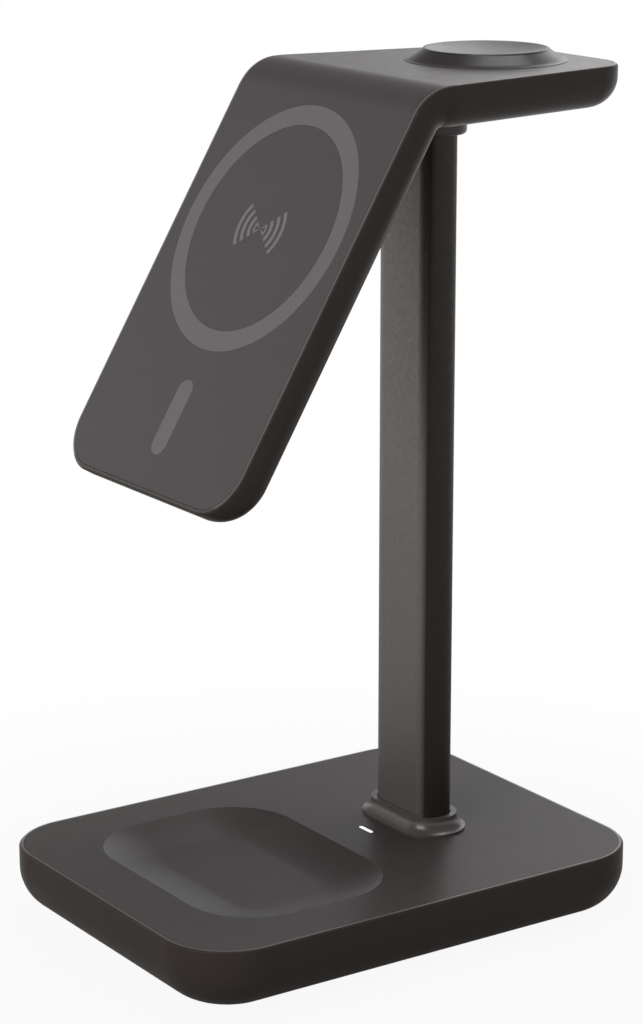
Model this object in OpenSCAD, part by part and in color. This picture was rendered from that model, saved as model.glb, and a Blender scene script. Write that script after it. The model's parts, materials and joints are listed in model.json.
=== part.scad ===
// Three-in-one wireless charging stand: a weighted base with an earbud tray, a flat stem,
// and a bent head with a sloping phone face and a level top that carries a watch puck.
// Millimetres, Z up. The origin is on the table under the middle of the base, X runs along
// the fold of the head, and the phone face looks towards -Y.

/* [Base] */
// Width of the base, along the fold
base_w = 87.4; // [84:0.2:100]
// Depth of the base, front to back
base_d = 116; // [112:1:140]
// Height of the moulded base, without its grip pad
base_h = 14.8; // [14:0.2:20]
// Radius of the base's corners in plan
base_corner_r = 15.5; // [13:0.5:20]
// Radius that rolls the base's side under
base_edge_r = 10; // [7:0.5:11]
// Wall of the base tub
base_wall = 2.2; // [1.8:0.1:2.6]
// Width of the rim left around a cover
rim_w = 1; // [0.8:0.1:1.3]
// Chamfer along each rim
rim_chamfer = 0.45; // [0.2:0.05:0.6]
// Thickness of the base cover
base_cover_t = 1.8; // [1.4:0.1:2.2]
// Distance the grip pad stands below the tub
pad_drop = 1.2; // [0.8:0.1:2]
// Depth of the recess that holds the grip pad
pad_recess = 0.4; // [0.2:0.1:0.6]
// Thickness of the steel ballast plate
ballast_t = 3; // [2:0.5:3.5]

/* [Earbud tray] */
// Width of the tray at its lip
tray_w = 62.6; // [56:0.2:66]
// Depth of the tray at its lip, front to back
tray_d = 45.8; // [42:0.2:50]
// Corner radius of the tray's lip
tray_r = 15.5; // [14:0.5:18]
// How deep the tray is dished
tray_h = 3; // [2:0.1:3.6]
// Width of the tray's curved bank, lip to flat floor
tray_bank = 12.5; // [10:0.5:13]
// Wall under the tray
tray_wall = 1.6; // [1.2:0.1:2]
// Distance from the base's front edge to the tray
tray_front = 14.1; // [12:0.1:16]

/* [Status light] */
// Length of the light bar
light_l = 4.7; // [3:0.1:8]
// Width of the light bar
light_w = 0.95; // [0.7:0.05:1.4]
// Distance from the stem's axis to the light bar
light_ahead = 13; // [12:0.1:15]

/* [Stem] */
// Width of the stem, along the fold
stem_w = 20.8; // [18:0.2:24]
// Thickness of the stem, front to back
stem_t = 8.8; // [8.6:0.1:11]
// Corner radius of the stem
stem_r = 4; // [3:0.1:4.2]
// Wall of the stem tube
stem_wall = 1.6; // [1.2:0.1:1.8]
// Distance from the base's back edge to the stem's axis
stem_back = 33; // [28:0.5:38]

/* [Collar] */
// Height of the bell collar above the base
collar_h = 3.65; // [3:0.05:6]
// How far the collar's lip stands off the stem
collar_lip = 1.5; // [1.2:0.1:1.8]
// How far the collar's foot flares from the stem
collar_flare = 3.45; // [3:0.05:5]

/* [Head] */
// Height of the level top above the table
head_z = 184.6; // [150:0.2:220]
// Width of the phone face
head_w = 65; // [62:0.5:75]
// Thickness of the head
head_t = 9.3; // [8.8:0.1:11]
// Radius that rolls the head's side to its back
head_edge_r = 6.6; // [4:0.1:7]
// Wall of the head shell
head_wall = 2; // [1.6:0.1:2.4]
// Thickness of the bent head cover
head_cover_t = 1.5; // [1.2:0.1:1.8]
// Outer radius of the fold
bend_r = 11; // [10:0.5:14]
// Lean of the phone face back from upright, in degrees
panel_lean = 31; // [20:0.5:40]
// Length of the phone face from the sharp fold to its lower end
panel_len = 96.1; // [92:0.1:110]
// Corner radius of the phone face
panel_r = 10.5; // [9:0.5:14]
// Length of the level top from the sharp fold to its back end
top_len = 60.6; // [60:0.2:70]
// Angle at which each side of the level top closes in towards the back, in degrees
top_taper = 10; // [4:0.5:11]
// Straight length of the level top between the fold and its taper
top_neck = 1; // [0.6:0.1:3]
// Corner radius at the back of the level top
top_r = 11.2; // [9:0.2:14]
// Distance from the stem's axis forward to the sharp fold
head_reach = 21.3; // [20.5:0.1:23]
// How far the head socket stands off the stem
socket_lip = 2; // [1.6:0.1:3]
// Height of the head socket
socket_h = 4.4; // [3:0.1:8]
// Radius along the head socket's lower edge
socket_edge_r = 0.9; // [0.4:0.1:1.4]

/* [Phone ring] */
// Outer diameter of the ring marking
ring_od = 56; // [54:0.5:58]
// Inner diameter of the ring marking
ring_id = 46.8; // [44:0.2:48]
// Distance from the sharp fold down to the ring's centre
ring_drop = 35.9; // [35:0.1:40]
// Length of the alignment bar
bar_len = 17; // [12:0.5:20]
// Width of the alignment bar
bar_w = 5.2; // [4:0.1:6]
// Share of the spare length below the ring that lies between the ring and the bar
bar_share = 0.454; // [0.3:0.002:0.6]
// Depth of the two inlays
inlay_t = 0.4; // [0.3:0.05:0.6]

/* [Watch puck] */
// Diameter of the puck's top rim
puck_top_d = 27.6; // [25:0.2:30]
// Diameter of the puck's foot
puck_foot_d = 35.2; // [33:0.2:38]
// Height of the puck
puck_h = 2.6; // [2.2:0.1:4]
// Depth of the dish in the puck
puck_dish = 1.2; // [0.8:0.1:1.4]
// Distance from the sharp fold back to the puck's centre
puck_y = 38.8; // [38:0.1:42]

/* [Inlet] */
// Width of the power socket's shell
port_w = 8.94; // [8:0.02:10]
// Height of the power socket's shell
port_h = 3.2; // [2.8:0.05:3.3]
// Length of the power socket's shell
port_l = 7.4; // [6:0.1:9]

/* [Fits] */
// Gap between a cover and its rim, all round
cover_gap = 0.1; // [0.05:0.05:0.2]
// Gap around pieces that slide into each other
slide_gap = 0.05; // [0.03:0.01:0.1]
// Gap between the stem and its bell collar
bell_gap = 0.15; // [0.1:0.05:0.8]

/* [Hidden] */
$fn = 96;

// Cuts run this far past the surface they open
past = 1;
// Bosses are rooted this far into the wall that carries them
root = 0.4;

// The fold, and the sides and corners of the level top, are a hair slimmer than what they
// join, and lap into it by an angle or, at the mitre, by a short length
seam = 0.03;
lap = 0.5;
mitre_lap = 0.1;

// Lengths that come out of angles are rounded to a ten-thousandth of a millimetre
function round_off(l) = round(l * 10000) / 10000;

// Base levels, upwards from the table
tub_z = pad_drop;
base_top = pad_drop + base_h;
tub_floor = tub_z + base_wall;
cover_under = base_top - base_cover_t;
ballast_top = tub_floor + ballast_t;

// Flat part of the tub's underside and floor
flat_w = base_w - 2 * base_edge_r;
flat_d = base_d - 2 * base_edge_r;
flat_r = base_corner_r - base_edge_r;
pad_margin = 1.2;

// Base screws stand in the corners, on the flat of the tub's floor
screw_r = 1.1;
screw_head_r = 2.3;
screw_head_h = 1.1;
boss_r = 3.2;
boss_in = 3;
boss_h = 3.4;
boss_x = flat_w / 2 - boss_r - boss_in;
boss_y = flat_d / 2 - boss_r - boss_in;
boss_top = tub_floor + boss_h;
screw_hole_l = 4;
screw_bite = 3.6;

// Ballast plate lies between the corner bosses
ballast_gap = 0.6;
ballast_end = 2;
ballast_r = 3;
ballast_w = 2 * (boss_x - boss_r - ballast_gap);
ballast_d = flat_d - 2 * ballast_end;

// Tray: the bank is an arc that meets the floor at a slight break
tray_y = -base_d / 2 + tray_front + tray_d / 2;
tray_flat = tray_r - tray_bank;
floor_break = 3.5;
bank_r = (pow(tray_bank, 2) + pow(tray_h, 2)) / (2 * (tray_h * cos(floor_break) - tray_bank * sin(floor_break)));
pan_z = base_top - tray_h - tray_wall;
coil_t = 1.2;
coil_od = 19.4;
coil_id = 7;
ferrite_t = 0.8;
ferrite_grow = 0.8;

// Stem and its two anchors
stem_y = base_d / 2 - stem_back;
stem_cx = stem_w / 2 - stem_r;
stem_cy = stem_t / 2 - stem_r;
flange_t = 2;
flange_side = 7;
flange_front = 4;
flange_w = stem_w + 2 * flange_side;
flange_d = stem_t + 2 * flange_front;
flange_r = 3;
stem_z = ballast_top + flange_t;
plug_l = 16;
lead_r = 1.5;
stem_screw_out = 3.2;
stem_screw_x = stem_w / 2 + stem_screw_out;
stem_screw_r = 1.5;
stem_screw_head_r = 2.8;
stem_screw_head_h = 0.9;

// Bell collar: foot edge, lip land and the concave arc between them
foot_edge = 0.5;
lip_land = 0.4;
bell_rise = collar_h - lip_land - foot_edge;
bell_run = collar_flare - collar_lip;
bell_r = (pow(bell_run, 2) + pow(bell_rise, 2)) / (2 * bell_run);
spigot_l = base_cover_t + 0.8;

// Status light
light_y = stem_y - light_ahead;
light_shoulder = 0.8;
light_shoulder_h = 1.4;
light_board_t = 1;
light_board_side = 3;
light_board_front = 1.7;
light_board_w = light_l + 2 * light_board_side;
light_board_d = light_w + 2 * light_board_front;

// Head: slope, fold and taper
slope = 90 - panel_lean;
fold_y = stem_y - head_reach;
fold_run = round_off(bend_r * tan(slope / 2));
neck_x = head_w / 2 - top_r;
neck_y = fold_run + top_neck;
top_cy = top_len - top_r;
side_len = (top_cy - neck_y) / cos(top_taper);
top_cx = round_off(neck_x - side_len * sin(top_taper));
head_floor = head_t - head_wall;
stem_top = head_z - head_floor;
anchor_t = 1.4;
anchor_side = 5;
anchor_front = 2;
anchor_w = stem_w + 2 * anchor_side;
anchor_d = stem_t + 2 * anchor_front;
anchor_screw_out = 2.6;
anchor_screw_x = stem_w / 2 + anchor_screw_out;
anchor_screw_r = 1;
anchor_screw_head_r = 1.9;
anchor_screw_head_h = 0.9;
anchor_screw_skin = 0.2;

// Phone charging stack, downwards from the back of the cover
magnet_t = 1.6;
magnet_w = 3.6;
magnet_count = 18;
magnet_gap = 3;
phone_coil_od = 41;
phone_coil_id = 20;
phone_coil_t = 1;
shield_t = 0.5;
ring_low = ring_drop + ring_od / 2;
bar_y = ring_low + bar_share * (panel_len - ring_low - bar_len) + bar_len / 2;
bar_magnet_w = bar_w - 1;
bar_magnet_l = bar_len - 2;
board_t = 1.2;
board_w = 34;
board_l = 20;
post_h = 1;
post_r = 1.6;
post_in = 3;
board_up = 1.5;
board_y = bar_y - board_up;

// Watch puck
puck_foot_edge = 0.1;
puck_skirt_h = 0.5;
puck_skirt_w = 1.3;
puck_skirt_r = (pow(puck_skirt_w, 2) + pow(puck_skirt_h - puck_foot_edge, 2)) / (2 * (puck_skirt_h - puck_foot_edge));
puck_cone_r = puck_foot_d / 2 - puck_skirt_w;
puck_edge = 0.35;
puck_spigot_r = 12;
puck_spigot_l = 4.4;
puck_wall = 1;
puck_roof = 0.6;
dish_rim = 0.5;
dish_r = puck_top_d / 2 - puck_edge - dish_rim;
dish_ball = (pow(dish_r, 2) + pow(puck_dish, 2)) / (2 * puck_dish);
watch_coil_t = 1;
watch_magnet_r = 3.6;
watch_coil_gap = 0.5;
watch_ferrite_gap = 0.2;

// Inlet: the socket stands on the board, and its mouth is just inside the back wall
port_z = cover_under - 0.4 - port_h / 2;
port_gap = 0.15;
port_sunk = 0.4;
port_skin = 0.3;
tongue_t = 0.7;
tongue_side = 1.2;
tongue_w = port_w - 2 * tongue_side;
tongue_in = 1;
board_gap = 0.6;
base_board_w = 36;
base_board_l = 16;
chip_w = 5;
chip_h = 1.2;
chip_in = 2;
base_board_z = port_z - port_h / 2 - board_t;
base_board_y = base_d / 2 - base_wall - board_gap - base_board_l / 2;

shell_colour = [0.17, 0.155, 0.145];
cover_colour = [0.33, 0.325, 0.325];
marking_colour = [0.43, 0.435, 0.44];
metal_colour = [0.72, 0.72, 0.73];
copper_colour = [0.72, 0.42, 0.22];
ferrite_colour = [0.12, 0.12, 0.13];
board_colour = [0.08, 0.32, 0.2];

module quarter_disc(r) {
    intersection() {
        circle(r);
        square(r);
    }
}

module round_rect(w, d, r) {
    square([w - 2 * r, d], center = true);
    for (m = [0, 1]) mirror([m, 0]) {
        translate([w / 2 - r, -d / 2 + r]) square([r, d - 2 * r]);
        for (n = [0, 1]) mirror([0, n]) translate([w / 2 - r, d / 2 - r]) quarter_disc(r);
    }
}

module stadium(w, h) {
    square([w - h, h], center = true);
    for (m = [0, 1], n = [0, 1]) mirror([m, 0]) mirror([0, n])
        translate([(w - h) / 2, 0]) quarter_disc(h / 2);
}

// Section of a moulded edge: it reaches a outwards, runs in depth from z0 to z1,
// and has a chamfer c at the front and a round er at the back
module edge_section(a, z0, z1, er, c) {
    polygon(concat(
        [[0, z0]],
        c > 0 ? [[a - c, z0], [a, z0 + c]] : [[a, z0]],
        er > 0 ? [[a, z1 - er], [a - er, z1 - er], [a - er, z1]] : [[a, z1]],
        [[0, z1]]));
    if (er > 0) translate([a - er, z1 - er]) quarter_disc(er);
}

// Sections that are swept: along -Y, along +X, or round a quarter turn
module run_y(l) { rotate([90, 0, 0]) linear_extrude(l) children(); }
module run_x(l) { rotate([90, 0, 90]) linear_extrude(l) children(); }
module turn(angle) { rotate_extrude(angle = angle) children(); }

// A section carried once round a rectangle whose corner centres are at x and y
module carry_round(x, y) {
    for (m = [0, 1], n = [0, 1]) mirror([m, 0, 0]) mirror([0, n, 0]) translate([x, y, 0]) turn(90) children();
    for (m = [0, 1]) mirror([m, 0, 0]) translate([x, y, 0]) run_y(2 * y) children();
    for (n = [0, 1]) mirror([0, n, 0]) translate([-x, y, 0]) run_x(2 * x) children();
}

// Base moulding, drawn with its depth upwards from the top face
module base_form(inset, z0, z1, er, c) {
    x = base_w / 2 - base_corner_r;
    y = base_d / 2 - base_corner_r;
    carry_round(x, y) edge_section(base_corner_r - inset, z0, z1, er, c);
    translate([-x, -y, z0]) cube([2 * x, 2 * y, z1 - z0]);
}

module from_base_top() { translate([0, 0, base_top]) mirror([0, 0, 1]) children(); }

// Sloping phone face, fold and level top, each drawn with its depth along +Z
module panel_form(inset, z0, z1, er, c) {
    a = panel_r - inset;
    x = head_w / 2 - panel_r;
    y = panel_len - panel_r;
    for (m = [0, 1]) mirror([m, 0, 0]) translate([x, y, 0]) {
        turn(90) edge_section(a, z0, z1, er, c);
        run_y(y - fold_run) edge_section(a, z0, z1, er, c);
    }
    translate([-x, y, 0]) run_x(2 * x) edge_section(a, z0, z1, er, c);
    translate([-x, fold_run, z0]) cube([2 * x, y - fold_run, z1 - z0]);
}

// The sides of the level top turn in at a mitre, so that both stretches meet on one section
module mitre(y0, y1, z0, z1) {
    rotate([0, 0, top_taper / 2]) translate([-head_w, y0, z0]) cube([2 * head_w, y1 - y0, z1 - z0]);
}

module top_form(inset, z0, z1, er, c) {
    a = top_r - inset;
    slim_z1 = z1 - (er > 0 ? seam : 0);
    for (m = [0, 1]) mirror([m, 0, 0]) translate([neck_x, neck_y, 0]) {
        intersection() {
            translate([0, top_r, 0]) run_y(top_neck + top_r) edge_section(a, z0, z1, er, c);
            mitre(-top_len, 0, z0, z1);
        }
        intersection() {
            rotate([0, 0, top_taper]) translate([0, side_len, 0]) run_y(top_len) edge_section(a - seam, z0, slim_z1, er, c);
            mitre(-mitre_lap, top_len, z0, z1);
        }
        rotate([0, 0, top_taper]) translate([0, side_len, 0])
            turn(90 - top_taper + lap) edge_section(a - seam, z0, slim_z1, er, c);
    }
    translate([-top_cx, top_cy, 0]) run_x(2 * top_cx) edge_section(a, z0, z1, er, c);
    translate([0, 0, z0]) linear_extrude(z1 - z0) polygon([
        [-neck_x - root, fold_run], [neck_x + root, fold_run], [neck_x + root, neck_y],
        [top_cx + root, top_cy + root], [-top_cx - root, top_cy + root], [-neck_x - root, neck_y]]);
}

module bend_form(inset, z0, z1, er, c) {
    rotate([0, 90, 0]) rotate([0, 0, 180 - lap]) turn(slope + 2 * lap) translate([bend_r, 0]) rotate([0, 0, 90])
        for (m = [0, 1]) mirror([m, 0]) edge_section(head_w / 2 - inset - seam, z0 + seam, z1 - seam, er, c);
}

module on_panel() { translate([0, fold_y, head_z]) rotate([180 + slope, 0, 0]) children(); }
module on_top() { translate([0, fold_y, head_z]) mirror([0, 0, 1]) children(); }
module on_bend() { translate([0, fold_y + fold_run, head_z - bend_r]) children(); }

module head_form(inset, z0, z1, er, c) {
    on_panel() panel_form(inset, z0, z1, er, c);
    on_bend() bend_form(inset, z0, z1, er, c);
    on_top() top_form(inset, z0, z1, er, c);
}

// Dish of the tray, with its depth along +Z: grow thickens it into the pan below
module tray_section(z0, grow) {
    intersection() {
        translate([tray_flat - bank_r * sin(floor_break), tray_h - bank_r * cos(floor_break)]) circle(bank_r + grow);
        translate([0, z0]) square([tray_r + grow, tray_h + grow - z0]);
    }
}

module tray_form(z0, grow) {
    x = tray_w / 2 - tray_r;
    y = tray_d / 2 - tray_r;
    carry_round(x, y) tray_section(z0, grow);
    translate([-x, -y, z0]) cube([2 * x, 2 * y, tray_h + grow - z0]);
}

module stem_bar(l, grow) { linear_extrude(l) round_rect(stem_w + 2 * grow, stem_t + 2 * grow, stem_r + grow); }

module at_base_screws() {
    for (x = [-boss_x, boss_x], y = [-boss_y, boss_y]) translate([x, y, 0]) children();
}

module at_stem_screws() { for (x = [-stem_screw_x, stem_screw_x]) translate([x, stem_y, 0]) children(); }
module at_anchor_screws() { for (x = [-anchor_screw_x, anchor_screw_x]) translate([x, stem_y, 0]) children(); }

module base_tub() color(shell_colour) difference() {
    union() {
        from_base_top() difference() {
            base_form(0, 0, base_h, base_edge_r, rim_chamfer);
            base_form(base_wall, -past, base_h - base_wall, base_edge_r - base_wall, 0);
            base_form(rim_w, -past, base_cover_t, 0, 0);
        }
        at_base_screws() translate([0, 0, tub_floor - root]) cylinder(boss_top - tub_floor + root, boss_r, boss_r);
        for (x = [-1, 1], y = [-1, 1])
            translate([x * (base_board_w / 2 - post_in), base_board_y + y * (base_board_l / 2 - post_in), tub_floor - root])
                cylinder(base_board_z - tub_floor + root, post_r, post_r);
    }
    translate([0, 0, tub_z - past]) linear_extrude(pad_recess + past)
        round_rect(flat_w - 2 * pad_margin, flat_d - 2 * pad_margin, flat_r);
    at_base_screws() {
        translate([0, 0, tub_z]) cylinder(boss_top - tub_z + past, screw_r + slide_gap, screw_r + slide_gap);
        translate([0, 0, tub_z]) cylinder(pad_recess + screw_head_h + slide_gap, screw_head_r + cover_gap, screw_head_r + cover_gap);
    }
    at_stem_screws() {
        translate([0, 0, tub_z]) cylinder(base_wall + past, stem_screw_r + slide_gap, stem_screw_r + slide_gap);
        translate([0, 0, tub_z]) cylinder(pad_recess + stem_screw_head_h, stem_screw_head_r + cover_gap, stem_screw_head_r + cover_gap);
    }
    translate([0, base_d / 2 + past, port_z]) rotate([90, 0, 0])
        linear_extrude(base_wall + 2 * past) stadium(port_w + 2 * port_gap, port_h + 2 * port_gap);
}

module base_cover() color(cover_colour) difference() {
    union() {
        from_base_top() base_form(rim_w + cover_gap, 0, base_cover_t, 0, 0);
        translate([0, tray_y, base_top]) mirror([0, 0, 1]) tray_form(root, tray_wall);
        at_base_screws() translate([0, 0, boss_top]) cylinder(cover_under - boss_top + root, boss_r, boss_r);
    }
    translate([0, tray_y, base_top]) mirror([0, 0, 1]) tray_form(-past, 0);
    at_base_screws() translate([0, 0, boss_top - past]) cylinder(screw_hole_l + past, screw_r + slide_gap, screw_r + slide_gap);
    translate([0, stem_y, cover_under - past]) stem_bar(base_cover_t + 2 * past, collar_lip + slide_gap);
    translate([0, light_y, cover_under - past]) linear_extrude(base_cover_t + 2 * past)
        stadium(light_l + 2 * slide_gap, light_w + 2 * slide_gap);
}

module grip_pad() color([0.09, 0.09, 0.09])
    linear_extrude(pad_drop + pad_recess)
        round_rect(flat_w - 2 * pad_margin - 2 * cover_gap, flat_d - 2 * pad_margin - 2 * cover_gap, flat_r);

module ballast_plate() color(metal_colour) translate([0, 0, tub_floor]) difference() {
    linear_extrude(ballast_t) difference() {
        round_rect(ballast_w, ballast_d, ballast_r);
        for (x = [-1, 1], y = [-1, 1])
            translate([x * (base_board_w / 2 - post_in), base_board_y + y * (base_board_l / 2 - post_in)]) circle(post_r + cover_gap);
    }
    translate([0, 0, -past]) at_stem_screws()
        cylinder(ballast_t + 2 * past, stem_screw_r + slide_gap, stem_screw_r + slide_gap);
}

module base_screws() color(metal_colour) at_base_screws() translate([0, 0, tub_z + pad_recess]) {
    cylinder(screw_head_h, screw_head_r, screw_head_r);
    cylinder(boss_top + screw_bite - tub_z - pad_recess, screw_r, screw_r);
}

module base_board() color(board_colour) translate([0, base_board_y, base_board_z]) {
    translate([-base_board_w / 2, -base_board_l / 2, 0]) cube([base_board_w, base_board_l, board_t]);
    for (x = [-1, 1]) translate([x * base_board_w / 3 - chip_w / 2, -base_board_l / 2 + chip_in, board_t - root])
        cube([chip_w, chip_w, chip_h + root]);
}

module usb_socket() color(metal_colour) translate([0, base_d / 2 - port_sunk, port_z]) rotate([90, 0, 0]) difference() {
    linear_extrude(port_l) stadium(port_w, port_h);
    translate([0, 0, -past]) linear_extrude(port_l - tongue_in + past) stadium(port_w - 2 * port_skin, port_h - 2 * port_skin);
}

module usb_tongue() color([0.1, 0.1, 0.1]) translate([0, base_d / 2 - port_sunk - tongue_in, port_z]) rotate([90, 0, 0])
    linear_extrude(port_l - 2 * tongue_in) square([tongue_w, tongue_t], center = true);

module flat_coil(od, id, t) {
    difference() {
        cylinder(t, od / 2, od / 2);
        translate([0, 0, -past]) cylinder(t + 2 * past, id / 2, id / 2);
    }
}

module earbud_coil() color(copper_colour) translate([0, tray_y, pan_z - coil_t]) flat_coil(coil_od, coil_id, coil_t);

module earbud_ferrite() color(ferrite_colour) translate([0, tray_y, pan_z - coil_t - ferrite_t])
    cylinder(ferrite_t, coil_od / 2 + ferrite_grow, coil_od / 2 + ferrite_grow);

module light_pipe() color([0.97, 0.97, 0.98]) translate([0, light_y, 0]) {
    translate([0, 0, cover_under]) linear_extrude(base_cover_t) stadium(light_l, light_w);
    translate([0, 0, cover_under - light_shoulder_h]) linear_extrude(light_shoulder_h)
        stadium(light_l + 2 * light_shoulder, light_w + 2 * light_shoulder);
}

module light_board() color(board_colour) translate([0, light_y, cover_under - light_shoulder_h - light_board_t])
    linear_extrude(light_board_t) square([light_board_w, light_board_d], center = true);

// The collar's section is measured from the stem's corner centres
module bell_section() {
    inner = stem_r + bell_gap;
    difference() {
        translate([inner, 0]) square([stem_r + collar_flare - inner, foot_edge + bell_rise]);
        translate([stem_r + collar_lip + bell_r, foot_edge + bell_rise]) circle(bell_r);
    }
    translate([inner, foot_edge + bell_rise]) square([stem_r + collar_lip - inner, lip_land]);
    translate([inner, -spigot_l]) square([stem_r + collar_lip - inner, spigot_l]);
}

module stem_collar() color(shell_colour) translate([0, stem_y, base_top])
    carry_round(stem_cx, stem_cy) bell_section();

module stem_tube() color(cover_colour) translate([0, stem_y, stem_z]) difference() {
    stem_bar(stem_top - stem_z, 0);
    translate([0, 0, -past]) stem_bar(stem_top - stem_z + 2 * past, -stem_wall);
}

module stem_anchor() color(metal_colour) difference() {
    translate([0, stem_y, ballast_top]) {
        linear_extrude(flange_t) round_rect(flange_w, flange_d, flange_r);
        translate([0, 0, flange_t - root]) stem_bar(plug_l + root, -stem_wall - slide_gap);
    }
    translate([0, stem_y, ballast_top - past]) cylinder(flange_t + plug_l + 2 * past, lead_r, lead_r);
    translate([0, 0, ballast_top - past]) at_stem_screws()
        cylinder(flange_t + 2 * past, stem_screw_r + slide_gap, stem_screw_r + slide_gap);
}

module stem_screws() color(metal_colour) at_stem_screws() translate([0, 0, tub_z + pad_recess]) {
    cylinder(stem_screw_head_h, stem_screw_head_r, stem_screw_head_r);
    cylinder(stem_z - tub_z - pad_recess, stem_screw_r, stem_screw_r);
}

module head_socket() color(shell_colour) translate([0, stem_y, head_z - head_t]) mirror([0, 0, 1]) difference() {
    union() {
        carry_round(stem_cx, stem_cy) edge_section(stem_r + socket_lip, 0, socket_h, socket_edge_r, 0);
        translate([-stem_cx, -stem_cy, 0]) cube([2 * stem_cx, 2 * stem_cy, socket_h]);
    }
    translate([0, 0, -past]) stem_bar(socket_h + 2 * past, slide_gap);
}

module head_anchor() color(metal_colour) difference() {
    translate([0, stem_y, stem_top]) {
        linear_extrude(anchor_t) round_rect(anchor_w, anchor_d, flange_r);
        translate([0, 0, -plug_l]) stem_bar(plug_l + root, -stem_wall - slide_gap);
    }
    translate([0, stem_y, stem_top - plug_l - past]) cylinder(plug_l + anchor_t + 2 * past, lead_r, lead_r);
    at_anchor_screws() translate([0, 0, stem_top - past]) cylinder(anchor_t + 2 * past, anchor_screw_r + slide_gap, anchor_screw_r + slide_gap);
}

module anchor_screws() color(metal_colour) at_anchor_screws() {
    translate([0, 0, stem_top + anchor_t]) cylinder(anchor_screw_head_h, anchor_screw_head_r, anchor_screw_head_r);
    translate([0, 0, stem_top - head_wall + anchor_screw_skin + cover_gap])
        cylinder(head_wall - anchor_screw_skin + anchor_t, anchor_screw_r, anchor_screw_r);
}

module head_shell() color(shell_colour) {
    difference() {
        head_form(0, 0, head_t, head_edge_r, rim_chamfer);
        head_form(head_wall, -past, head_floor, head_edge_r - head_wall, 0);
        head_form(rim_w, -past, head_cover_t, 0, 0);
        translate([0, stem_y, head_z - head_t - past]) stem_bar(head_wall + 2 * past, slide_gap);
        at_anchor_screws() translate([0, 0, stem_top - head_wall + anchor_screw_skin])
            cylinder(head_wall + past, anchor_screw_r + slide_gap, anchor_screw_r + slide_gap);
    }
    on_panel() for (x = [-1, 1], y = [-1, 1])
        translate([x * (board_w / 2 - post_in), board_y + y * (board_l / 2 - post_in), head_floor - post_h])
            cylinder(post_h + root, post_r, post_r);
}

module head_cover() color(cover_colour) difference() {
    head_form(rim_w + cover_gap, 0, head_cover_t, 0, 0);
    on_panel() translate([0, ring_drop, -past])
        flat_coil(ring_od + 2 * slide_gap, ring_id - 2 * slide_gap, inlay_t + past);
    on_panel() translate([0, bar_y, -past]) rotate([0, 0, 90])
        linear_extrude(inlay_t + past) stadium(bar_len + 2 * slide_gap, bar_w + 2 * slide_gap);
    on_top() translate([0, puck_y, -past])
        cylinder(head_cover_t + 2 * past, puck_spigot_r + slide_gap, puck_spigot_r + slide_gap);
}

module ring_inlay() color(marking_colour) on_panel() translate([0, ring_drop, 0]) flat_coil(ring_od, ring_id, inlay_t);

module bar_inlay() color(marking_colour) on_panel() translate([0, bar_y, 0]) rotate([0, 0, 90])
    linear_extrude(inlay_t) stadium(bar_len, bar_w);

module phone_coil() color(copper_colour) on_panel() translate([0, ring_drop, head_cover_t])
    flat_coil(phone_coil_od, phone_coil_id, phone_coil_t);

module phone_ferrite() color(ferrite_colour) on_panel() translate([0, ring_drop, head_cover_t + phone_coil_t])
    cylinder(ferrite_t, phone_coil_od / 2 + ferrite_grow, phone_coil_od / 2 + ferrite_grow);

// Arc magnets in a ring, each with a small gap to the next
module magnet_ring() color(metal_colour) on_panel() translate([0, ring_drop, head_cover_t])
    for (k = [0 : magnet_count - 1])
        rotate([0, 0, 360 / magnet_count * k + magnet_gap / 2])
            turn(360 / magnet_count - magnet_gap)
                translate([(ring_od + ring_id) / 4 - magnet_w / 2, 0]) square([magnet_w, magnet_t]);

module shield_ring() color(metal_colour) on_panel() translate([0, ring_drop, head_cover_t + magnet_t])
    flat_coil((ring_od + ring_id) / 2 + magnet_w, (ring_od + ring_id) / 2 - magnet_w, shield_t);

module bar_magnet() color(metal_colour) on_panel() translate([0, bar_y, head_cover_t])
    linear_extrude(magnet_t) square([bar_magnet_w, bar_magnet_l], center = true);

module head_board() color(board_colour) on_panel()
    translate([-board_w / 2, board_y - board_l / 2, head_floor - post_h - board_t])
        cube([board_w, board_l, board_t]);

// The puck is drawn upwards from the level top
module puck_body() color(shell_colour) translate([0, fold_y + puck_y, head_z]) difference() {
    union() {
        rotate_extrude() {
            polygon([
                [0, 0], [puck_cone_r, 0], [puck_cone_r, puck_skirt_h],
                [puck_top_d / 2, puck_h - puck_edge], [puck_top_d / 2 - puck_edge, puck_h], [0, puck_h]]);
            difference() {
                translate([puck_cone_r, 0]) square([puck_skirt_w, puck_skirt_h]);
                translate([puck_foot_d / 2, puck_foot_edge + puck_skirt_r]) circle(puck_skirt_r);
            }
        }
        translate([0, 0, -puck_spigot_l]) cylinder(puck_spigot_l + root, puck_spigot_r, puck_spigot_r);
    }
    translate([0, 0, puck_h - puck_dish + dish_ball]) sphere(dish_ball);
    translate([0, 0, -puck_spigot_l - past])
        cylinder(puck_spigot_l + past + puck_h - puck_dish - puck_roof, puck_spigot_r - puck_wall, puck_spigot_r - puck_wall);
}

puck_ceiling = head_z + puck_h - puck_dish - puck_roof;

module puck_coil() color(copper_colour) translate([0, fold_y + puck_y, puck_ceiling - watch_coil_t])
    flat_coil(2 * (puck_spigot_r - puck_wall - watch_coil_gap), 2 * (watch_magnet_r + watch_coil_gap), watch_coil_t);

module puck_ferrite() color(ferrite_colour) translate([0, fold_y + puck_y, puck_ceiling - watch_coil_t - ferrite_t])
    flat_coil(2 * (puck_spigot_r - puck_wall - watch_ferrite_gap), 2 * (watch_magnet_r + watch_coil_gap), ferrite_t);

module puck_magnet() color(metal_colour) translate([0, fold_y + puck_y, puck_ceiling - watch_coil_t - ferrite_t])
    cylinder(watch_coil_t + ferrite_t, watch_magnet_r, watch_magnet_r);

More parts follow.
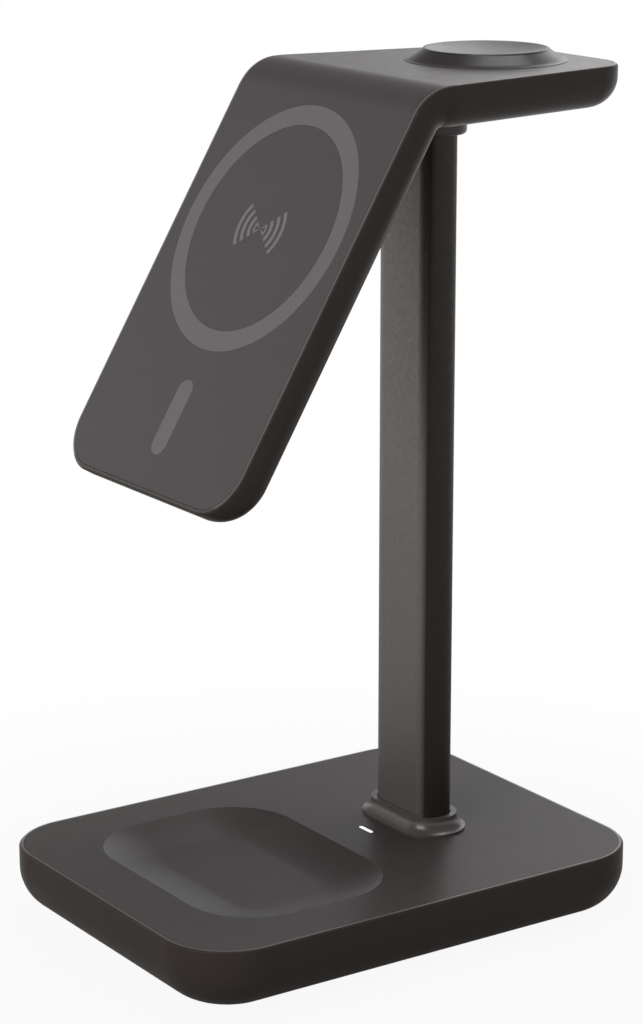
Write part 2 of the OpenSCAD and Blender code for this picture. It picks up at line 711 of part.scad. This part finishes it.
base_tub();
base_cover();
grip_pad();
ballast_plate();
base_screws();
base_board();
usb_socket();
usb_tongue();
earbud_coil();
earbud_ferrite();
light_pipe();
light_board();
stem_collar();
stem_tube();
stem_anchor();
stem_screws();
head_socket();
head_anchor();
anchor_screws();
head_shell();
head_cover();
ring_inlay();
bar_inlay();
phone_coil();
phone_ferrite();
magnet_ring();
shield_ring();
bar_magnet();
head_board();
puck_body();
puck_coil();
puck_ferrite();
puck_magnet();
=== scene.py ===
# Wireless charging stand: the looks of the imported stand, in metres with Z up.
# The origin is on the table under the middle of the base, and the phone face looks towards -Y.
import bpy, json, math
from mathutils import Matrix, Vector


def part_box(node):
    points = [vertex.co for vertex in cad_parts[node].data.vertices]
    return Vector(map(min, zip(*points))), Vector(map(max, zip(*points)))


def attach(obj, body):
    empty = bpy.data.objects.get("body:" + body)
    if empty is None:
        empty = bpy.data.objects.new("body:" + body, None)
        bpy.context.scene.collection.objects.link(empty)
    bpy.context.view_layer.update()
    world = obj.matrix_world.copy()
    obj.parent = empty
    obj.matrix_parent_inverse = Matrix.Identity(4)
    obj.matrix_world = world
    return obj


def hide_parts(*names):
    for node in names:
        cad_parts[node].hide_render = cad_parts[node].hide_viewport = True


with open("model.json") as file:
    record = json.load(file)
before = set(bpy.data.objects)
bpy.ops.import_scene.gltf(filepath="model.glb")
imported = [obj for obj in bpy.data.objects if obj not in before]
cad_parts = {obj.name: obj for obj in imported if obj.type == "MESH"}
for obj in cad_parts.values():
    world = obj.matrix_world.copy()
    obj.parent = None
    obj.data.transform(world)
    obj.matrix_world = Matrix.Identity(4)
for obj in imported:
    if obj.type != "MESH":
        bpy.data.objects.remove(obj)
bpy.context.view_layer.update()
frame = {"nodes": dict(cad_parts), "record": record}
MM = 0.001

# Camera, at the photograph's viewing angle
CAMERA_PLACE = (0.52997, -0.36016, 0.26178)
CAMERA_AZIMUTH = 55.8
CAMERA_ELEVATION = 14.937
CAMERA_LENS = 108.89
CAMERA_SENSOR = 36
CAMERA_CLIP = (0.02, 50)

# Colours as the shader takes them
SHELL_COLOUR = (0.0560, 0.0455, 0.0395)
COVER_COLOUR = (0.0605, 0.0505, 0.0530)
BASE_COVER_COLOUR = (0.0530, 0.0445, 0.0445)
# The rim round each cover is painted in this lighter colour as a highlight on its edge
RIM_HIGHLIGHT_COLOUR = (0.140, 0.127, 0.124)
MARK_COLOUR = (0.143, 0.134, 0.141)
SIGN_COLOUR = (0.188, 0.177, 0.182)
COLLAR_COLOUR = (0.088, 0.077, 0.073)
# The socket's colour is lighter than the shell's, as painted light in the shade under the head
SOCKET_LIGHTENED_COLOUR = (0.075, 0.064, 0.058)
# The stem's wide faces are painted light and its rounded sides painted dark, lit and shaded copies of one
# colour
STEM_LIT_FRONT_COLOUR = (0.200, 0.182, 0.178)
STEM_SHADED_SIDE_COLOUR = (0.037, 0.031, 0.027)
RUBBER_COLOUR = (0.018, 0.018, 0.018)
ZINC_COLOUR = (0.50, 0.50, 0.51)
COPPER_COLOUR = (0.55, 0.22, 0.08)
FERRITE_COLOUR = (0.03, 0.03, 0.033)
BOARD_COLOUR = (0.01, 0.09, 0.04)
LIGHT_COLOUR = (0.9, 0.9, 0.9)
LIGHT_GLOW = 0.7

# The puck has the cover's colour at this share
PUCK_SHARE = 0.45

# Textures, in millimetres across and deep
SHELL_GRAIN = (0.35, 0.004)
COVER_GRAIN = (0.28, 0.004)
DECK_GRAIN = (0.28, 0.005)
RUBBER_GRAIN = (0.5, 0.03)
ZINC_GRAIN = (0.4, 0.01)
WINDING_GRAIN = (0.3, 0.02)
FERRITE_GRAIN = (0.4, 0.02)
BOARD_GRAIN = (0.5, 0.01)
STEM_GRAIN = (0.42, 0.035)

# Gloss, as roughness and specular level
SHELL_GLOSS = (0.32, 0.07)
COVER_GLOSS = (0.38, 0.45)
DECK_GLOSS = (0.42, 0.22)
COLLAR_GLOSS = (0.28, 0.6)
SOCKET_GLOSS = (0.34, 0.3)
PUCK_GLOSS = (0.34, 0.38)
STEM_GLOSS = (0.49, 0.3)
RUBBER_GLOSS = (0.8, 0.3)
ZINC_GLOSS = (0.35, 0.5)
WINDING_GLOSS = (0.3, 0.5)
FERRITE_GLOSS = (0.6, 0.5)
BOARD_GLOSS = (0.35, 0.5)
LIGHT_GLOSS = (0.4, 0.5)

# Specular level of the rim round the covers, which has the shell's roughness
RIM_SPECULAR = 0.4

# How metallic the metals are
STEM_METALLIC = 0.85
ZINC_METALLIC = 0.9

# Moulded pieces: clouds in the colour and patches in the gloss, their size and their change either way
CLOUD_MM = 9
CLOUD_CHANGE = 0.015
PATCH_MM = 3
PATCH_CHANGE = 0.02

# The part of a noise that is spread over the whole of a change
NOISE_MIDDLE = (0.3, 0.7)

# Stem: patches in its gloss, and the depths under its wide faces between which the painted shade of the
# sides turns to the painted light of the wide faces
STEM_PATCH_MM = 1.2
STEM_PATCH_CHANGE = 0.05
STEM_EDGE_MM = (0.9, 0.15)

# Stem: sand grains, and the painted glints among them
SAND_MM = 0.5
FRONT_SAND_CHANGE = 0.06
SIDE_SAND_CHANGE = 0.07
GLINT_MM = 0.34
GLINT_PEAKS = (0.64, 0.78)
GLINT_SHARE = 1.7

# Points this near are welded, over the shell's seams and in the sign
SEAM_GAP = 0.045 * MM
SIGN_GAP = 0.001 * MM

# Edges flatter than this are shaded round, in degrees
SMOOTH_ANGLE = 52
FACE_ANGLE = 28
DECK_ANGLE = 30

# The base's deck is level at this height, to within the play
DECK_HEIGHT = 0.016
LEVEL_PLAY = 0.1 * MM
LEVEL_NEARNESS = 0.999

# Faces of a housing turned this near to the way that its cover looks are its rim, which gets the painted
# highlight
RIM_NEARNESS = 0.96

# How far the covers lean from level to the front, in degrees: the head's bends over the fold
HEAD_COVER_TILTS = (0, 15, 30, 44.4, 59)
BASE_COVER_TILTS = (0,)

# Heights at which the painted rim highlights start and the head's is fully light, and how light it is
# below that
BASE_RIM_LOWEST = 0.0125
HEAD_RIM_LOWEST = 0.08
HEAD_RIM_BRIGHT_ABOVE = 0.1042
RIM_FOOT_SHARE = 0.35

# The sign in the middle of the ring, in millimetres on the face, with radii from its own middle
SIGN_SHIFT = (-0.5, 0.4)
SIGN_RADII = (3.6, 5.6, 7.6)
SIGN_STROKE = 0.98
SIGN_HALF_ANGLE = 37
SIGN_WEDGE = (1.72, 2.25)
SIGN_SPOKE = (0.25, 1.7)
SIGN_SPOKE_HALF_ANGLE = 9
SIGN_PROUD = 0.02
SIGN_DEEP = 0.03
SIGN_STEPS = 18

# Floor: width, colour, and how white it is to the camera and in mirrors, by metres from the middle
FLOOR_SIZE = 14
FLOOR_COLOUR = (0.48, 0.48, 0.48)
SEEN_DISTANCE = (0.06, 0.2)
SEEN_WHITE = (0.93, 1)
MIRRORED_DISTANCE = (0.1, 0.5)
MIRRORED_WHITE = (0.1, 1)

# World: its plain light, and the heights between which its mirrored white fades to that
WORLD_FILL = 0.2
HORIZON = (0.05, 0.45)

# Lamps: name, place, what it points at, width, height, watts
LAMPS = (
    ("front_softbox", (0.35, -1.3, 0.95), (0, 0, 0.1), 0.8, 0.8, 10.5),
    ("left_softbox", (-1.04, -0.62, 0.60), (0, -0.02, 0.13), 0.8, 0.8, 0.8),
    ("back_softbox", (-0.75, 1.05, 0.80), (0, 0.02, 0.15), 0.8, 0.8, 3.4),
    ("top_strip", (-0.05, 0.3, 1.3), (-0.05, 0.3, 0), 0.3, 1.0, 6),
)

# Nodes with a finish of their own in place of their slot's
OWN_FINISHES = {"puck_body": "puck", "stem_collar": "collar", "head_socket": "socket"}

FINISHES = {}


def tint(colour, share):
    return tuple(part * share for part in colour)


def leaning(degrees):
    """The direction that leans from straight up to the front."""
    tilt = math.radians(degrees)
    return Vector((0, -math.sin(tilt), math.cos(tilt)))


# Modelling helpers
def only(piece):
    """Make the piece the one that is selected and active."""
    bpy.ops.object.select_all(action="DESELECT")
    piece.select_set(True)
    bpy.context.view_layer.objects.active = piece


def edit(piece):
    """Open the piece for editing, with all of it selected."""
    only(piece)
    bpy.ops.object.mode_set(mode="EDIT")
    bpy.ops.mesh.select_all(action="SELECT")


def done():
    """Close what is being edited."""
    bpy.ops.object.mode_set(mode="OBJECT")


def settle():
    """Put the place and turn of what is selected into its mesh."""
    bpy.ops.object.transform_apply(location=True, rotation=True, scale=True)


def put_modifier(piece, kind, **values):
    """Add a modifier with these values and apply it."""
    only(piece)
    modifier = piece.modifiers.new(kind.lower(), kind)
    for key, value in values.items():
        setattr(modifier, key, value)
    bpy.ops.object.modifier_apply(modifier=modifier.name)


def dress(piece, finish):
    piece.data.materials.clear()
    piece.data.materials.append(FINISHES[finish])


# Node helpers
class Nodes:
    """A node tree being put together."""

    def __init__(self, tree):
        self.tree = tree

    def add(self, kind, **values):
        node = self.tree.nodes.new(kind)
        for key, value in values.items():
            setattr(node, key, value)
        return node

    def link(self, a, b):
        self.tree.links.new(a, b)

    def calculate(self, operation, *values):
        """A sum on sockets or numbers."""
        node = self.add("ShaderNodeMath", operation=operation)
        for socket, value in zip(node.inputs, values):
            if isinstance(value, bpy.types.NodeSocket):
                self.link(value, socket)
            else:
                socket.default_value = value
        return node.outputs[0]

    def spread(self, source, span, results, ease="LINEAR"):
        """The source, stretched from its span over the results."""
        node = self.add("ShaderNodeMapRange", interpolation_type=ease)
        for key, value in zip(("From Min", "From Max", "To Min", "To Max"), (*span, *results)):
            node.inputs[key].default_value = value
        self.link(source, node.inputs["Value"])
        return node.outputs["Result"]

    def mix(self, share, a, b):
        """Two colours, each a tuple or a socket, mixed by a share from 0 to 1."""
        mix = self.add("ShaderNodeMix", data_type="RGBA")
        sockets = [socket for socket in mix.inputs if socket.type == "RGBA"]
        for socket, colour in zip(sockets, (a, b)):
            if isinstance(colour, tuple):
                socket.default_value = (*colour, 1)
            else:
                self.link(colour, socket)
        self.link(share, mix.inputs["Factor"])
        return next(socket for socket in mix.outputs if socket.type == "RGBA")


class Finish(Nodes):
    """A material being put together on Object coordinates."""

    def __init__(self, name, colour, gloss, metallic=0):
        roughness, specular = gloss
        self.material = bpy.data.materials.new(name)
        self.material.use_nodes = True
        super().__init__(self.material.node_tree)
        self.shader = self.tree.nodes["Principled BSDF"]
        self.shader.inputs["Base Color"].default_value = (*colour, 1)
        self.shader.inputs["Roughness"].default_value = roughness
        self.shader.inputs["Metallic"].default_value = metallic
        self.shader.inputs["Specular IOR Level"].default_value = specular
        self.place = self.add("ShaderNodeTexCoord").outputs["Object"]

    def noise(self, size_mm, detail, rough=0.55):
        """Noise whose grains are size_mm across on the object."""
        noise = self.add("ShaderNodeTexNoise")
        noise.inputs["Scale"].default_value = 1 / (size_mm * MM)
        noise.inputs["Detail"].default_value = detail
        noise.inputs["Roughness"].default_value = rough
        self.link(self.place, noise.inputs["Vector"])
        return noise.outputs["Fac"]

    def clouds(self, size_mm, detail=5):
        """A share from 0 to 1 that comes and goes in soft clouds."""
        return self.spread(self.noise(size_mm, detail, rough=0.7), NOISE_MIDDLE, (0, 1))

    def mottled(self, colour, share, change):
        """The colour, darker to lighter by the change as the share goes from 0 to 1."""
        return self.mix(share, tint(colour, 1 - change), tint(colour, 1 + change))

    def paint(self, colour):
        self.link(colour, self.shader.inputs["Base Color"])

    def vary_roughness(self, size_mm, gloss, change):
        """Patches of this size, rougher and smoother than the gloss by the change."""
        middle = gloss[0]
        patches = self.noise(size_mm, detail=4)
        roughness = self.spread(patches, NOISE_MIDDLE, (middle - change, middle + change))
        self.link(roughness, self.shader.inputs["Roughness"])

    def grain(self, size_and_depth, detail=2, rough=0.55):
        """Fine relief, its size and depth in millimetres."""
        size_mm, depth_mm = size_and_depth
        bump = self.add("ShaderNodeBump")
        bump.inputs["Distance"].default_value = depth_mm * MM
        bump.inputs["Strength"].default_value = 1
        self.link(self.noise(size_mm, detail, rough), bump.inputs["Height"])
        self.link(bump.outputs["Normal"], self.shader.inputs["Normal"])


# Finishes
def moulded(name, colour, grain, gloss, metallic=0):
    """Moulded plastic or another plain finish, with a fine texture."""
    finish = Finish(name, colour, gloss, metallic)
    finish.paint(finish.mottled(colour, finish.clouds(CLOUD_MM), CLOUD_CHANGE))
    finish.vary_roughness(PATCH_MM, gloss, PATCH_CHANGE)
    finish.grain(grain)
    return finish.material


def housing_plastic_and_rim_highlight():
    """The shell's plastic, with a highlight painted lighter on the narrow rim round each cover, which is
    also shinier.
    """
    finish = Finish("housing_plastic_and_rim_highlight", SHELL_COLOUR, SHELL_GLOSS)
    clouds = finish.clouds(CLOUD_MM)
    body = finish.mottled(SHELL_COLOUR, clouds, CLOUD_CHANGE)
    # Painted highlight: the rim's lighter colour, laid on by the rim mask
    rim = finish.mottled(RIM_HIGHLIGHT_COLOUR, clouds, CLOUD_CHANGE)
    mask = finish.add("ShaderNodeAttribute", attribute_name="painted_rim_highlight").outputs["Fac"]
    finish.paint(finish.mix(mask, body, rim))
    specular = finish.spread(mask, (0, 1), (SHELL_GLOSS[1], RIM_SPECULAR))
    finish.link(specular, finish.shader.inputs["Specular IOR Level"])
    finish.vary_roughness(PATCH_MM, SHELL_GLOSS, PATCH_CHANGE)
    finish.grain(SHELL_GRAIN)
    return finish.material


def sandblasted_stem_painted_light():
    """Anodised aluminium, sandblasted: the wide faces painted light and the rounded sides painted dark,
    as lit and shaded copies of one colour, with painted glints.
    """
    low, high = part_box("stem_tube")
    middle = (low[1] + high[1]) / 2
    half = (high[1] - low[1]) / 2
    finish = Finish("sandblasted_stem_painted_light", STEM_LIT_FRONT_COLOUR, STEM_GLOSS, STEM_METALLIC)
    split = finish.add("ShaderNodeSeparateXYZ")
    finish.link(finish.place, split.inputs["Vector"])
    away = finish.calculate("ABSOLUTE", finish.calculate("SUBTRACT", split.outputs["Y"], middle))
    # Painted light on the wide faces, fading to painted shade on the rounded sides
    wide = finish.spread(away, [half - depth * MM for depth in STEM_EDGE_MM], (0, 1))
    sand = finish.clouds(SAND_MM, detail=4)
    # Painted glints: specks of the front colour made brighter
    painted_glints = finish.spread(finish.noise(GLINT_MM, detail=2, rough=0.6), GLINT_PEAKS, (0, 1))
    front = finish.mottled(STEM_LIT_FRONT_COLOUR, sand, FRONT_SAND_CHANGE)
    front = finish.mix(painted_glints, front, tint(STEM_LIT_FRONT_COLOUR, GLINT_SHARE))
    side = finish.mottled(STEM_SHADED_SIDE_COLOUR, sand, SIDE_SAND_CHANGE)
    finish.paint(finish.mix(wide, side, front))
    finish.vary_roughness(STEM_PATCH_MM, STEM_GLOSS, STEM_PATCH_CHANGE)
    finish.grain(STEM_GRAIN, detail=3, rough=0.65)
    return finish.material


def light_plastic():
    """The white light bar, lit."""
    material = moulded("light_bar", LIGHT_COLOUR, BOARD_GRAIN, LIGHT_GLOSS)
    glow = material.node_tree.nodes["Principled BSDF"]
    glow.inputs["Emission Color"].default_value = (1, 1, 1, 1)
    glow.inputs["Emission Strength"].default_value = LIGHT_GLOW
    return material


def make_finishes():
    """A finish for each slot of the record, and for the pieces that differ from their slot."""
    FINISHES["shell"] = moulded("shell_plastic", SHELL_COLOUR, SHELL_GRAIN, SHELL_GLOSS)
    FINISHES["housing"] = housing_plastic_and_rim_highlight()
    FINISHES["cover"] = moulded("base_cover_plastic", BASE_COVER_COLOUR, DECK_GRAIN, DECK_GLOSS)
    FINISHES["satin_cover"] = moulded("satin_cover", COVER_COLOUR, COVER_GRAIN, COVER_GLOSS)
    FINISHES["collar"] = moulded("collar_plastic", COLLAR_COLOUR, SHELL_GRAIN, COLLAR_GLOSS)
    # The socket is painted lighter than the shell, as painted light in the head's shade
    FINISHES["socket"] = moulded("socket_plastic", SOCKET_LIGHTENED_COLOUR, SHELL_GRAIN, SOCKET_GLOSS)
    FINISHES["puck"] = moulded("puck_plastic", tint(COVER_COLOUR, PUCK_SHARE), COVER_GRAIN, PUCK_GLOSS)
    FINISHES["marking"] = moulded("marking_plastic", MARK_COLOUR, COVER_GRAIN, COVER_GLOSS)
    FINISHES["sign"] = moulded("sign_print", SIGN_COLOUR, COVER_GRAIN, COVER_GLOSS)
    FINISHES["stem"] = sandblasted_stem_painted_light()
    FINISHES["pad"] = moulded("grip_rubber", RUBBER_COLOUR, RUBBER_GRAIN, RUBBER_GLOSS)
    FINISHES["steel"] = moulded("zinc_steel", ZINC_COLOUR, ZINC_GRAIN, ZINC_GLOSS, ZINC_METALLIC)
    FINISHES["copper"] = moulded("enamelled_copper", COPPER_COLOUR, WINDING_GRAIN, WINDING_GLOSS)
    FINISHES["ferrite"] = moulded("ferrite_sheet", FERRITE_COLOUR, FERRITE_GRAIN, FERRITE_GLOSS)
    FINISHES["board"] = moulded("solder_mask", BOARD_COLOUR, BOARD_GRAIN, BOARD_GLOSS)
    FINISHES["light"] = light_plastic()


def dress_nodes():
    """Give each node its own finish, or else that of its slot."""
    slots = {part["node"]: part["material_slot"] for part in frame["record"]["subparts"]}
    for name, node in frame["nodes"].items():
        dress(node, OWN_FINISHES.get(name, slots[name]))


# Housings and covers, shaded smoothly in place of their nodes
def crisp_round_level(piece, height):
    """Keep the edge between a level face at this height and what dips from it crisp."""
    sides = {}
    for face in piece.data.polygons:
        level = face.normal.z > LEVEL_NEARNESS and abs(face.center.z - height) < LEVEL_PLAY
        for key in face.edge_keys:
            sides.setdefault(key, set()).add(level)
    for line in piece.data.edges:
        if sides.get(line.key) == {True, False}:
            line.use_edge_sharp = True


def smooth_copy(node, name, finish, angle=SMOOTH_ANGLE, level=None):
    """The node's loose triangles merged into one skin and shaded smoothly, in its place."""
    piece = bpy.data.objects.new(name, frame["nodes"][node].data.copy())
    bpy.context.collection.objects.link(piece)
    only(piece)
    bpy.ops.mesh.customdata_custom_splitnormals_clear()
    edit(piece)
    bpy.ops.mesh.remove_doubles(threshold=SEAM_GAP)
    bpy.ops.mesh.normals_make_consistent(inside=False)
    done()
    bpy.ops.object.shade_smooth_by_angle(angle=math.radians(angle))
    if level is not None:
        crisp_round_level(piece, level)
    put_modifier(piece, "WEIGHTED_NORMAL", keep_sharp=True)
    dress(piece, finish)
    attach(piece, "root")
    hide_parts(node)
    return piece


def mark_rim_highlight(piece, tilts, lowest, bright_above):
    """Mark the faces above lowest that look the way one of the tilts does for the painted rim highlight,
    fully if high up.
    """
    ways = [leaning(tilt) for tilt in tilts]
    mask = piece.data.attributes.new("painted_rim_highlight", "FLOAT", "FACE")
    for face in piece.data.polygons:
        along = max(face.normal.dot(way) for way in ways)
        if along > RIM_NEARNESS and face.center.z > lowest:
            mask.data[face.index].value = 1.0 if face.center.z > bright_above else RIM_FOOT_SHARE


def add_head():
    """The head's housing with a highlight painted on its rim, and the bent cover let into it."""
    housing = smooth_copy("head_shell", "head_housing", "housing")
    mark_rim_highlight(housing, HEAD_COVER_TILTS, HEAD_RIM_LOWEST, HEAD_RIM_BRIGHT_ABOVE)
    smooth_copy("head_cover", "head_face", "satin_cover", FACE_ANGLE)


def add_base():
    """The base's housing with a highlight painted on its rim, and the deck with the tray dished into it.
    """
    housing = smooth_copy("base_tub", "base_housing", "housing")
    mark_rim_highlight(housing, BASE_COVER_TILTS, BASE_RIM_LOWEST, BASE_RIM_LOWEST)
    smooth_copy("base_cover", "base_deck", "cover", DECK_ANGLE, DECK_HEIGHT)


# The printed sign
def spun_stroke(name, inner, outer, half_angle, turned=0):
    """A flat stroke from inner to outer radius, spun half_angle to both sides of turned."""
    middle, width = (inner + outer) / 2 * MM, (outer - inner) * MM
    bpy.ops.object.select_all(action="DESELECT")
    bpy.ops.mesh.primitive_plane_add(size=width, location=(middle, 0, 0))
    stroke = bpy.context.object
    stroke.name = name
    settle()
    edit(stroke)
    bpy.ops.transform.resize(value=(1, 0, 1), center_override=(middle, 0, 0))
    bpy.ops.mesh.remove_doubles(threshold=SIGN_GAP)
    bpy.ops.mesh.select_all(action="SELECT")
    angle = math.radians(2 * half_angle)
    bpy.ops.mesh.spin(steps=SIGN_STEPS, angle=angle, center=(0, 0, 0), axis=(0, 0, 1))
    done()
    stroke.rotation_euler = (0, 0, math.radians(half_angle + turned))
    settle()
    return stroke


def half_turned(stroke):
    """A copy of the stroke on the other side of the sign's middle."""
    other = stroke.copy()
    other.data = stroke.data.copy()
    bpy.context.collection.objects.link(other)
    only(other)
    other.rotation_euler = (0, 0, math.pi)
    settle()
    return other


def sign_strokes():
    """The strokes of one side: a small open wedge, and waves that leave it."""
    strokes = [spun_stroke("sign_wedge", *SIGN_WEDGE, SIGN_HALF_ANGLE)]
    for side in (-1, 1):
        turned = side * (SIGN_HALF_ANGLE - SIGN_SPOKE_HALF_ANGLE)
        strokes.append(spun_stroke("sign_spoke", *SIGN_SPOKE, SIGN_SPOKE_HALF_ANGLE, turned))
    for radius in SIGN_RADII:
        inner, outer = radius - SIGN_STROKE / 2, radius + SIGN_STROKE / 2
        strokes.append(spun_stroke("sign_wave", inner, outer, SIGN_HALF_ANGLE))
    return strokes


def lay_on_face(sign):
    """Move the flat sign to the middle of the ring, its back just under the phone face."""
    mount = next(m for m in frame["record"]["mounts"] if m["name"] == "phone_face")
    out = Vector(mount["axis"]).normalized()
    across = Vector((1, 0, 0))
    up = out.cross(across)
    centre = Vector(mount["pos_m"]) + (across * SIGN_SHIFT[0] - up * SIGN_SHIFT[1] - out * SIGN_DEEP) * MM
    turn = Matrix((across, up, out)).transposed().to_4x4()
    sign.matrix_world = Matrix.Translation(centre) @ turn
    only(sign)
    settle()


def add_sign():
    """Waves to both sides of a small open double wedge, printed in the middle of the ring."""
    strokes = sign_strokes()
    strokes += [half_turned(stroke) for stroke in strokes]
    bpy.ops.object.select_all(action="DESELECT")
    for stroke in strokes:
        stroke.select_set(True)
    bpy.context.view_layer.objects.active = strokes[0]
    bpy.ops.object.join()
    sign = bpy.context.object
    sign.name = "charging_sign"
    edit(sign)
    bpy.ops.mesh.remove_doubles(threshold=SIGN_GAP)
    bpy.ops.mesh.normals_make_consistent(inside=False)
    thickness = (0, 0, (SIGN_PROUD + SIGN_DEEP) * MM)
    bpy.ops.mesh.extrude_region_move(TRANSFORM_OT_translate={"value": thickness})
    bpy.ops.mesh.select_all(action="SELECT")
    bpy.ops.mesh.normals_make_consistent(inside=False)
    done()
    lay_on_face(sign)
    dress(sign, "sign")
    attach(sign, "root")


# Studio
def add_camera():
    data = bpy.data.cameras.new("photo_camera")
    data.lens = CAMERA_LENS
    data.sensor_width = CAMERA_SENSOR
    data.clip_start, data.clip_end = CAMERA_CLIP
    camera = bpy.data.objects.new("photo_camera", data)
    camera.location = CAMERA_PLACE
    camera.rotation_euler = (math.radians(90 - CAMERA_ELEVATION), 0, math.radians(CAMERA_AZIMUTH))
    bpy.context.collection.objects.link(camera)
    bpy.context.scene.camera = camera


def pale_floor():
    """White where the camera or a mirrored ray meets it, and near the stand also its shadow."""
    material = bpy.data.materials.new("pale_floor")
    material.use_nodes = True
    material.node_tree.nodes.clear()
    nodes = Nodes(material.node_tree)
    matte = nodes.add("ShaderNodeBsdfDiffuse")
    matte.inputs["Color"].default_value = (*FLOOR_COLOUR, 1)
    white = nodes.add("ShaderNodeEmission")
    white.inputs["Strength"].default_value = 1
    path = nodes.add("ShaderNodeLightPath").outputs
    away = nodes.add("ShaderNodeVectorMath", operation="LENGTH")
    nodes.link(nodes.add("ShaderNodeTexCoord").outputs["Object"], away.inputs[0])
    distance = away.outputs["Value"]
    seen_share = nodes.spread(distance, SEEN_DISTANCE, SEEN_WHITE, "SMOOTHSTEP")
    mirrored_share = nodes.spread(distance, MIRRORED_DISTANCE, MIRRORED_WHITE, "SMOOTHSTEP")
    mirrored = nodes.calculate("MAXIMUM", path["Is Glossy Ray"], path["Is Transmission Ray"])
    mirrored = nodes.calculate("MULTIPLY", mirrored, mirrored_share)
    seen = nodes.calculate("MULTIPLY", path["Is Camera Ray"], seen_share)
    mix = nodes.add("ShaderNodeMixShader")
    nodes.link(nodes.calculate("MAXIMUM", seen, mirrored), mix.inputs["Fac"])
    nodes.link(matte.outputs[0], mix.inputs[1])
    nodes.link(white.outputs[0], mix.inputs[2])
    nodes.link(mix.outputs[0], nodes.add("ShaderNodeOutputMaterial").inputs["Surface"])
    return material


def add_floor():
    bpy.ops.object.select_all(action="DESELECT")
    bpy.ops.mesh.primitive_plane_add(size=FLOOR_SIZE, location=(0, 0, 0))
    floor = bpy.context.object
    floor.name = "studio_floor"
    floor.data.materials.append(pale_floor())


def add_world():
    """White to the camera, and white low down in gloss, over a plain light."""
    world = bpy.data.worlds.new("studio_world")
    bpy.context.scene.world = world
    world.use_nodes = True
    nodes = Nodes(world.node_tree)
    background = world.node_tree.nodes["Background"]
    background.inputs["Color"].default_value = (1, 1, 1, 1)
    path = nodes.add("ShaderNodeLightPath").outputs
    split = nodes.add("ShaderNodeSeparateXYZ")
    nodes.link(nodes.add("ShaderNodeTexCoord").outputs["Generated"], split.inputs[0])
    horizon = nodes.spread(split.outputs["Z"], HORIZON, (1, WORLD_FILL), "SMOOTHSTEP")
    horizon = nodes.calculate("MULTIPLY", horizon, path["Is Glossy Ray"])
    seen = nodes.calculate("MAXIMUM", path["Is Camera Ray"], path["Is Transmission Ray"])
    shown = nodes.calculate("MAXIMUM", seen, horizon)
    nodes.link(nodes.calculate("MAXIMUM", shown, WORLD_FILL), background.inputs["Strength"])


def add_lamps():
    for name, place, aim, width, height, watts in LAMPS:
        data = bpy.data.lights.new(name, "AREA")
        data.energy = watts
        data.shape = "RECTANGLE"
        data.size = width
        data.size_y = height
        lamp = bpy.data.objects.new(name, data)
        lamp.location = place
        lamp.rotation_euler = (Vector(aim) - Vector(place)).to_track_quat("-Z", "Y").to_euler()
        bpy.context.collection.objects.link(lamp)


add_camera()
make_finishes()
dress_nodes()
add_head()
add_base()
add_sign()
add_floor()
add_world()
add_lamps()
bpy.context.scene.view_settings.view_transform = "Standard"
